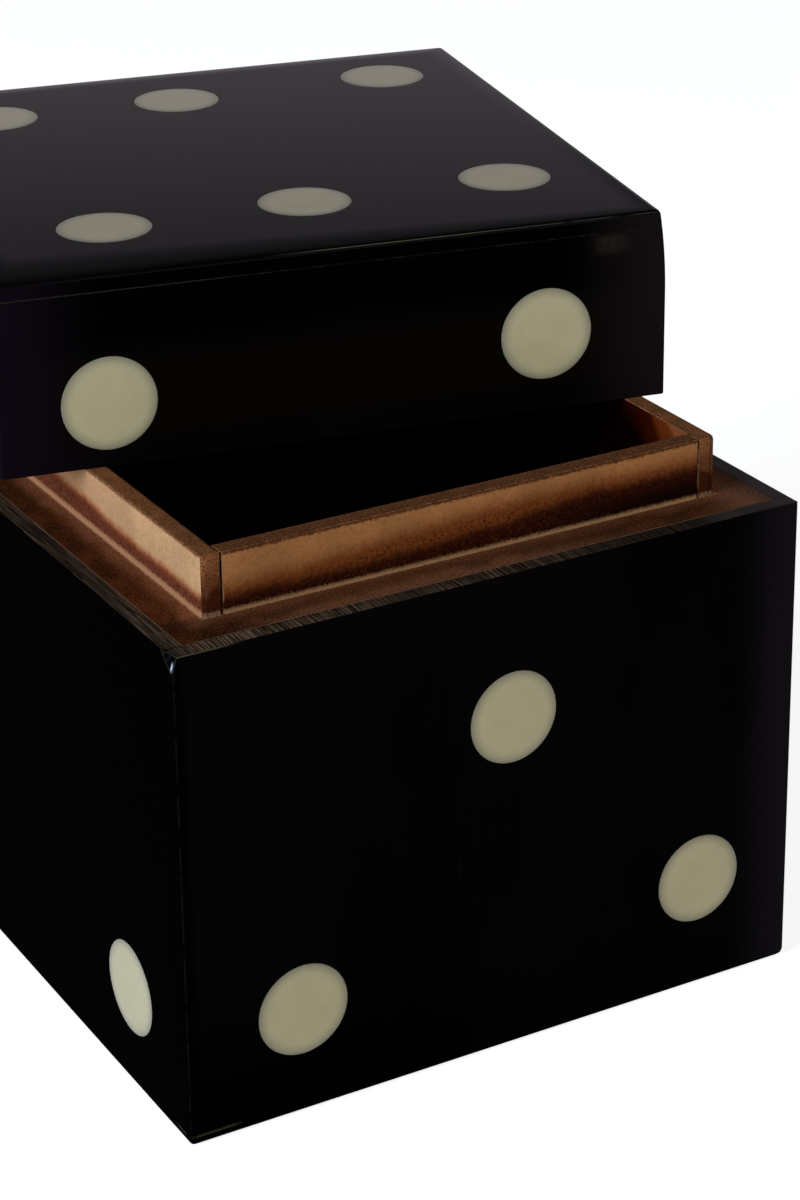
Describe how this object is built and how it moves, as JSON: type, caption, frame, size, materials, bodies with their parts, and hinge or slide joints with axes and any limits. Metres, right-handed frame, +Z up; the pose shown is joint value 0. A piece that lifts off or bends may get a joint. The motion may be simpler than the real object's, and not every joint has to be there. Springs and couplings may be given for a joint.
{
  "type": "dice box",
  "caption": "Die-shaped keepsake box clad in black resin with cream pips; its lift-off cap lid rests askew on the raised inner lip.",
  "frame": {"origin": "centre of the box's underside, on the surface it stands on", "axes": "+Z up through the box; front face, with a pip in the middle, towards -Y; +X to the right of that face"},
  "size_m": [0.1768, 0.2165, 0.1685],
  "materials": {
    "black_resin": "polished, rubbed down at the edges",
    "cream_resin": "satin",
    "fibreboard": "stained brown, sanded",
    "lining_board": "stained tan, darker at the foot of the lip"
  },
  "bodies": {
    "box": {"carcass_back": "fibreboard", "carcass_floor": "fibreboard", "carcass_front": "fibreboard", "carcass_left": "fibreboard", "carcass_right": "fibreboard", "liner_back": "lining_board", "liner_floor": "lining_board", "liner_front": "lining_board", "liner_left": "lining_board", "liner_right": "lining_board", "pip_back_low_left": "cream_resin", "pip_bottom_centre": "cream_resin", "pip_front_centre": "cream_resin", "pip_front_low_left": "cream_resin", "pip_front_low_right": "cream_resin", "pip_left_low_left": "cream_resin", "pip_left_low_right": "cream_resin", "pip_right_centre": "cream_resin", "pip_right_low_left": "cream_resin", "skin_back": "black_resin", "skin_bottom": "black_resin", "skin_front": "black_resin", "skin_left": "black_resin", "skin_right": "black_resin"},
    "lid": {"lid_board_top": "fibreboard", "lid_skin_back": "black_resin", "lid_skin_front": "black_resin", "lid_skin_left": "black_resin", "lid_skin_right": "black_resin", "lid_skin_top": "black_resin", "lid_wall_back": "fibreboard", "lid_wall_front": "fibreboard", "lid_wall_left": "fibreboard", "lid_wall_right": "fibreboard", "pip_back_high_right": "cream_resin", "pip_front_high_left": "cream_resin", "pip_front_high_right": "cream_resin", "pip_left_high_left": "cream_resin", "pip_left_high_right": "cream_resin", "pip_right_high_right": "cream_resin", "pip_top_back_centre": "cream_resin", "pip_top_back_left": "cream_resin", "pip_top_back_right": "cream_resin", "pip_top_front_centre": "cream_resin", "pip_top_front_left": "cream_resin", "pip_top_front_right": "cream_resin"}
  },
  "joints": [
    {"name": "lid_lift", "type": "slide", "parent": "box", "child": "lid", "axis": [0, 0, 1], "range_m": [0, 0.15]}
  ]
}
